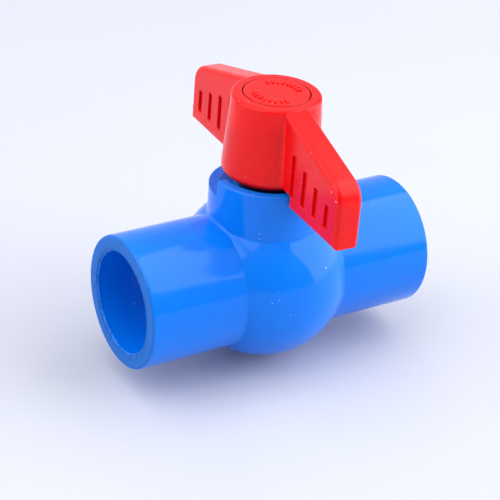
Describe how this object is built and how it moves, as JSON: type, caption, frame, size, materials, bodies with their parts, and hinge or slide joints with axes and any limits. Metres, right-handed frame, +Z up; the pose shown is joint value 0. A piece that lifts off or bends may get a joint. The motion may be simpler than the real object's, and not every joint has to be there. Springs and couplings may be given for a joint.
{
  "type": "ball valve",
  "caption": "Compact moulded pipe ball valve, shown closed, with plain push-in sockets and a winged quarter-turn handle.",
  "frame": {"origin": "centre of the inlet socket's mouth, on the pipe axis", "axes": "+X along the pipe from the inlet to the outlet, +Z up the stem towards the handle, +Y across the pipe"},
  "size_m": [0.0634, 0.0594, 0.0565],
  "materials": {
    "body_plastic": "glossy moulded plastic",
    "handle_plastic": "satin moulded plastic",
    "core_plastic": "moulded plastic",
    "ball_plastic": "polished moulded plastic",
    "seat_plastic": "soft plastic",
    "ring_rubber": "moulded rubber",
    "screw_steel": "bright steel"
  },
  "bodies": {
    "valve_body": {"body_shell": "body_plastic", "core_cup_inlet": "core_plastic", "core_cup_outlet": "core_plastic", "ball_seat_inlet": "seat_plastic", "ball_seat_outlet": "seat_plastic", "seat_cushion_inlet": "ring_rubber", "seat_cushion_outlet": "ring_rubber", "core_seal_inlet": "ring_rubber", "core_seal_outlet": "ring_rubber", "thrust_washer": "seat_plastic"},
    "handle_and_stem": {"stem": "core_plastic", "stem_ring_lower": "ring_rubber", "stem_ring_upper": "ring_rubber", "handle": "handle_plastic", "screw_washer": "screw_steel", "handle_screw": "screw_steel", "handle_cap": "handle_plastic"},
    "ball": {"ball": "ball_plastic"}
  },
  "joints": [
    {"name": "handle_turn", "type": "hinge", "parent": "valve_body", "child": "handle_and_stem", "pos_m": [0.0317, 0, 0.02], "axis": [0, 0, 1], "range_deg": [0, 90]},
    {"name": "ball_turn", "type": "hinge", "parent": "valve_body", "child": "ball", "pos_m": [0.0317, 0, 0], "axis": [0, 0, 1], "range_deg": [0, 90]}
  ],
  "couplings": [
    {"joint": "ball_turn", "follows": "handle_turn", "ratio": 1}
  ]
}
